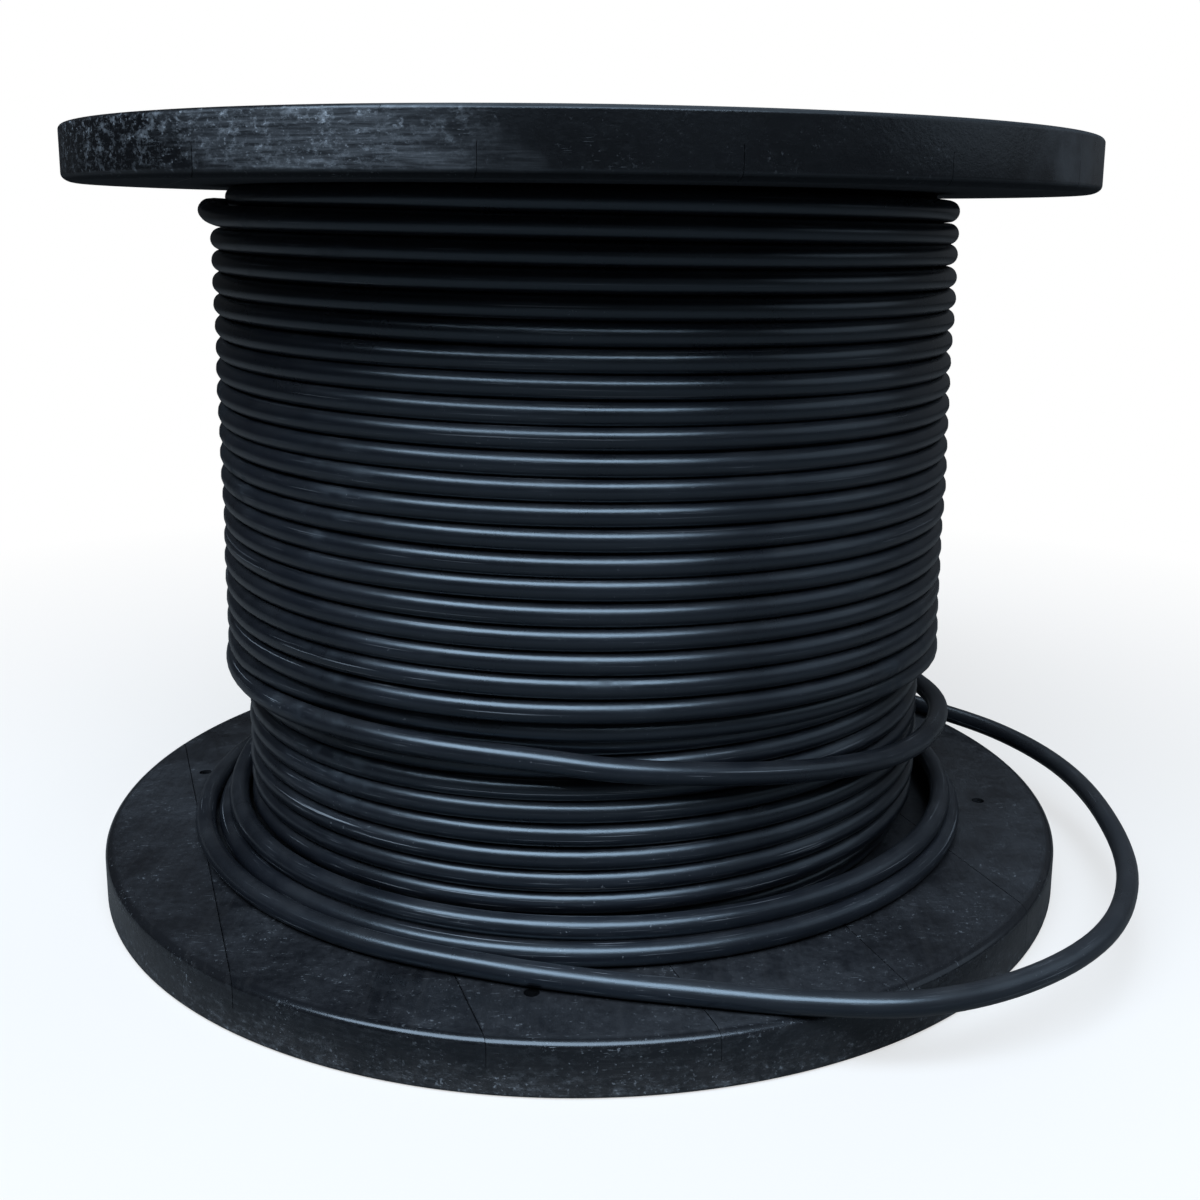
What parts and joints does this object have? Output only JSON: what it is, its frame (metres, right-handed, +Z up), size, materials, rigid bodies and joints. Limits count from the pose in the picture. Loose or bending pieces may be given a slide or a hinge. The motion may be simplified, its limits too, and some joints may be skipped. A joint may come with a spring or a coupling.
{
  "type": "wooden cable drum",
  "caption": "Wooden cable drum standing on its flange: round flanges of crossed boards, a staved barrel held by tie rods, and a part-used winding of black cable with its loose end out.",
  "frame": {"origin": "centre of the lower flange's underside, on the floor", "axes": "+Z up along the drum's axis, -Y towards the viewer of the picture"},
  "size_m": [0.9533, 0.9, 0.67],
  "materials": {
    "painted_wood": "worn black paint on softwood boards",
    "stave_wood": "sawn softwood",
    "steel": "dull, lightly rusted",
    "cable_jacket": "satin black sheath with fine scratches"
  },
  "bodies": {
    "root": {"lower_outer_board_1": "painted_wood", "lower_outer_board_2": "painted_wood", "lower_outer_board_3": "painted_wood", "lower_outer_board_4": "painted_wood", "lower_outer_board_5": "painted_wood", "lower_outer_board_6": "painted_wood", "lower_inner_board_1": "painted_wood", "lower_inner_board_2": "painted_wood", "lower_inner_board_3": "painted_wood", "lower_inner_board_4": "painted_wood", "lower_inner_board_5": "painted_wood", "lower_inner_board_6": "painted_wood", "upper_outer_board_1": "painted_wood", "upper_outer_board_2": "painted_wood", "upper_outer_board_3": "painted_wood", "upper_outer_board_4": "painted_wood", "upper_outer_board_5": "painted_wood", "upper_outer_board_6": "painted_wood", "upper_inner_board_1": "painted_wood", "upper_inner_board_2": "painted_wood", "upper_inner_board_3": "painted_wood", "upper_inner_board_4": "painted_wood", "upper_inner_board_5": "painted_wood", "upper_inner_board_6": "painted_wood", "barrel_staves": "stave_wood", "tie_rod_1": "steel", "tie_rod_2": "steel", "tie_rod_3": "steel", "tie_rod_4": "steel", "lower_washers": "steel", "upper_washers": "steel", "lower_nuts": "steel", "upper_nuts": "steel", "cable_winding": "cable_jacket", "crossing_turn": "cable_jacket", "slack_turns": "cable_jacket", "cable_tail": "cable_jacket"}
  },
  "joints": []
}
